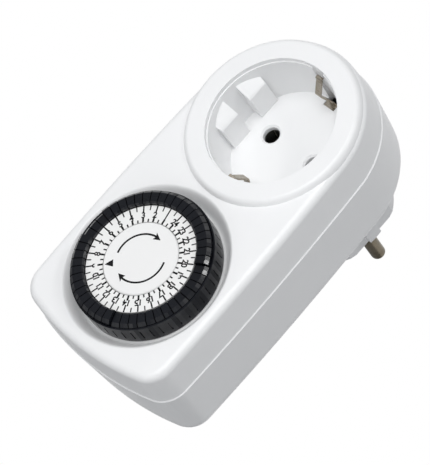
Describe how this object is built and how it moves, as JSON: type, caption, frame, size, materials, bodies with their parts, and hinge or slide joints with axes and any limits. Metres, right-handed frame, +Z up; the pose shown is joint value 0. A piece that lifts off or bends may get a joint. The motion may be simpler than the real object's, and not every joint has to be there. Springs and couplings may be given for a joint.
{
  "type": "plug-in timer switch",
  "caption": "Wall plug-in 24 hour mechanical timer switch: an earthed plug, a casing with a pass-through earthed socket and a dial of press-down time tappets.",
  "frame": {"origin": "middle of the plug face, between the two pins, where the plug meets a wall outlet", "axes": "+Z up with the socket above the dial, the front faces -Y and the plug pins point to +Y, +X to the right seen from the front"},
  "size_m": [0.0636, 0.0825, 0.1203],
  "materials": {
    "white_shell": "moulded white plastic, fine satin gloss",
    "dark_plastic": "moulded blue-black plastic, satin",
    "scale_face": "white plastic with a black printed 24 hour scale",
    "cap_face": "white plastic with a printed pointer and arrows",
    "pin_metal": "dull nickelled brass",
    "clip_metal": "nickelled spring brass, rolled",
    "contact_brass": "stamped brass",
    "copper_bar": "stamped copper alloy",
    "steel": "zinc plated steel",
    "carrier_plastic": "moulded thermoset, natural",
    "chassis_plastic": "moulded grey plastic",
    "gear_plastic": "moulded acetal, natural",
    "coil": "wound and taped coil",
    "wire_blue": "insulated wire",
    "lever_orange": "moulded plastic",
    "switch_red": "moulded plastic",
    "slide_red": "moulded red plastic"
  },
  "bodies": {
    "casing": {"front_shell": "white_shell", "rear_shell": "white_shell", "case_screws": "steel", "contact_carrier": "carrier_plastic", "live_contact": "contact_brass", "neutral_contact": "contact_brass", "live_pin": "pin_metal", "neutral_pin": "pin_metal", "neutral_bar": "copper_bar", "live_in_bar": "copper_bar", "live_out_bar": "copper_bar", "earth_strip_upper": "clip_metal", "earth_strip_lower": "clip_metal", "earth_bridge": "clip_metal", "chassis": "chassis_plastic", "chassis_screws": "steel", "motor_can": "steel", "motor_coil": "coil", "motor_plate": "steel", "motor_leads": "wire_blue", "clutch_axle": "steel", "centre_cap": "cap_face", "dial_post": "steel", "trip_pin": "steel", "switch_case": "switch_red", "switch_terminals": "contact_brass"},
    "dial": {"dial_carrier": "dark_plastic", "time_scale": "scale_face"},
    "clutch": {"clutch_wheel": "gear_plastic", "clutch_pinion": "gear_plastic"},
    "motor_shaft": {"motor_pinion": "gear_plastic"},
    "trip_lever_body": {"trip_lever": "lever_orange"},
    "plunger": {"switch_plunger": "dark_plastic"},
    "override": {"override_slide": "slide_red"},
    "tappet_1330_body": {"tappet_1330": "dark_plastic"},
    "tappet_1430_body": {"tappet_1430": "dark_plastic"},
    "tappet_1530_body": {"tappet_1530": "dark_plastic"},
    "tappet_1630_body": {"tappet_1630": "dark_plastic"},
    "tappet_1730_body": {"tappet_1730": "dark_plastic"},
    "tappet_1830_body": {"tappet_1830": "dark_plastic"},
    "tappet_1930_body": {"tappet_1930": "dark_plastic"},
    "tappet_2000_body": {"tappet_2000": "dark_plastic"},
    "tappet_2100_body": {"tappet_2100": "dark_plastic"},
    "tappet_2200_body": {"tappet_2200": "dark_plastic"},
    "tappet_2300_body": {"tappet_2300": "dark_plastic"},
    "tappet_0000_body": {"tappet_0000": "dark_plastic"},
    "tappet_0100_body": {"tappet_0100": "dark_plastic"},
    "tappet_0200_body": {"tappet_0200": "dark_plastic"},
    "tappet_0300_body": {"tappet_0300": "dark_plastic"},
    "tappet_0400_body": {"tappet_0400": "dark_plastic"},
    "tappet_0500_body": {"tappet_0500": "dark_plastic"},
    "tappet_0530_body": {"tappet_0530": "dark_plastic"},
    "tappet_0630_body": {"tappet_0630": "dark_plastic"},
    "tappet_0700_body": {"tappet_0700": "dark_plastic"},
    "tappet_0800_body": {"tappet_0800": "dark_plastic"},
    "tappet_0900_body": {"tappet_0900": "dark_plastic"},
    "tappet_1000_body": {"tappet_1000": "dark_plastic"},
    "tappet_1100_body": {"tappet_1100": "dark_plastic"},
    "tappet_1200_body": {"tappet_1200": "dark_plastic"},
    "tappet_1300_body": {"tappet_1300": "dark_plastic"}
  },
  "joints": [
    {"name": "dial_turn", "type": "hinge", "parent": "casing", "child": "dial", "pos_m": [0, -0.05765, -0.0574], "axis": [0, 1, 0], "continuous": true},
    {"name": "override_travel", "type": "slide", "parent": "casing", "child": "override", "axis": [0, 0, 1], "range_m": [0, 0.0036]},
    {"name": "trip_swing", "type": "hinge", "parent": "casing", "child": "trip_lever_body", "pos_m": [-0.00617, -0.0482, -0.06325], "axis": [0.6884, 0, -0.7254], "range_deg": [0, 5], "stiffness_Nm_per_rad": 0.02},
    {"name": "clutch_turn", "type": "hinge", "parent": "casing", "child": "clutch", "pos_m": [0.0108, -0.0443, -0.07027], "axis": [0, 1, 0], "continuous": true},
    {"name": "motor_turn", "type": "hinge", "parent": "casing", "child": "motor_shaft", "pos_m": [0.00954, -0.0443, -0.05833], "axis": [0, 1, 0], "continuous": true},
    {"name": "plunger_travel", "type": "slide", "parent": "casing", "child": "plunger", "axis": [0, 1, 0], "range_m": [0, 0.001]},
    {"name": "tappet_1330_press", "type": "slide", "parent": "dial", "child": "tappet_1330_body", "axis": [0, 1, 0], "range_m": [-0.0012, 0]},
    {"name": "tappet_1430_press", "type": "slide", "parent": "dial", "child": "tappet_1430_body", "axis": [0, 1, 0], "range_m": [-0.0012, 0]},
    {"name": "tappet_1530_press", "type": "slide", "parent": "dial", "child": "tappet_1530_body", "axis": [0, 1, 0], "range_m": [-0.0012, 0]},
    {"name": "tappet_1630_press", "type": "slide", "parent": "dial", "child": "tappet_1630_body", "axis": [0, 1, 0], "range_m": [-0.0012, 0]},
    {"name": "tappet_1730_press", "type": "slide", "parent": "dial", "child": "tappet_1730_body", "axis": [0, 1, 0], "range_m": [-0.0012, 0]},
    {"name": "tappet_1830_press", "type": "slide", "parent": "dial", "child": "tappet_1830_body", "axis": [0, 1, 0], "range_m": [-0.0012, 0]},
    {"name": "tappet_1930_press", "type": "slide", "parent": "dial", "child": "tappet_1930_body", "axis": [0, 1, 0], "range_m": [-0.0012, 0]},
    {"name": "tappet_2000_press", "type": "slide", "parent": "dial", "child": "tappet_2000_body", "axis": [0, 1, 0], "range_m": [0, 0.0012]},
    {"name": "tappet_2100_press", "type": "slide", "parent": "dial", "child": "tappet_2100_body", "axis": [0, 1, 0], "range_m": [0, 0.0012]},
    {"name": "tappet_2200_press", "type": "slide", "parent": "dial", "child": "tappet_2200_body", "axis": [0, 1, 0], "range_m": [0, 0.0012]},
    {"name": "tappet_2300_press", "type": "slide", "parent": "dial", "child": "tappet_2300_body", "axis": [0, 1, 0], "range_m": [0, 0.0012]},
    {"name": "tappet_0000_press", "type": "slide", "parent": "dial", "child": "tappet_0000_body", "axis": [0, 1, 0], "range_m": [0, 0.0012]},
    {"name": "tappet_0100_press", "type": "slide", "parent": "dial", "child": "tappet_0100_body", "axis": [0, 1, 0], "range_m": [0, 0.0012]},
    {"name": "tappet_0200_press", "type": "slide", "parent": "dial", "child": "tappet_0200_body", "axis": [0, 1, 0], "range_m": [0, 0.0012]},
    {"name": "tappet_0300_press", "type": "slide", "parent": "dial", "child": "tappet_0300_body", "axis": [0, 1, 0], "range_m": [0, 0.0012]},
    {"name": "tappet_0400_press", "type": "slide", "parent": "dial", "child": "tappet_0400_body", "axis": [0, 1, 0], "range_m": [0, 0.0012]},
    {"name": "tappet_0500_press", "type": "slide", "parent": "dial", "child": "tappet_0500_body", "axis": [0, 1, 0], "range_m": [0, 0.0012]},
    {"name": "tappet_0530_press", "type": "slide", "parent": "dial", "child": "tappet_0530_body", "axis": [0, 1, 0], "range_m": [-0.0012, 0]},
    {"name": "tappet_0630_press", "type": "slide", "parent": "dial", "child": "tappet_0630_body", "axis": [0, 1, 0], "range_m": [-0.0012, 0]},
    {"name": "tappet_0700_press", "type": "slide", "parent": "dial", "child": "tappet_0700_body", "axis": [0, 1, 0], "range_m": [0, 0.0012]},
    {"name": "tappet_0800_press", "type": "slide", "parent": "dial", "child": "tappet_0800_body", "axis": [0, 1, 0], "range_m": [0, 0.0012]},
    {"name": "tappet_0900_press", "type": "slide", "parent": "dial", "child": "tappet_0900_body", "axis": [0, 1, 0], "range_m": [0, 0.0012]},
    {"name": "tappet_1000_press", "type": "slide", "parent": "dial", "child": "tappet_1000_body", "axis": [0, 1, 0], "range_m": [0, 0.0012]},
    {"name": "tappet_1100_press", "type": "slide", "parent": "dial", "child": "tappet_1100_body", "axis": [0, 1, 0], "range_m": [0, 0.0012]},
    {"name": "tappet_1200_press", "type": "slide", "parent": "dial", "child": "tappet_1200_body", "axis": [0, 1, 0], "range_m": [0, 0.0012]},
    {"name": "tappet_1300_press", "type": "slide", "parent": "dial", "child": "tappet_1300_body", "axis": [0, 1, 0], "range_m": [0, 0.0012]}
  ],
  "couplings": [
    {"joint": "clutch_turn", "follows": "dial_turn", "ratio": -6},
    {"joint": "motor_turn", "follows": "dial_turn", "ratio": 24},
    {"joint": "plunger_travel", "follows": "trip_swing", "m_per_rad": 0.0101}
  ]
}
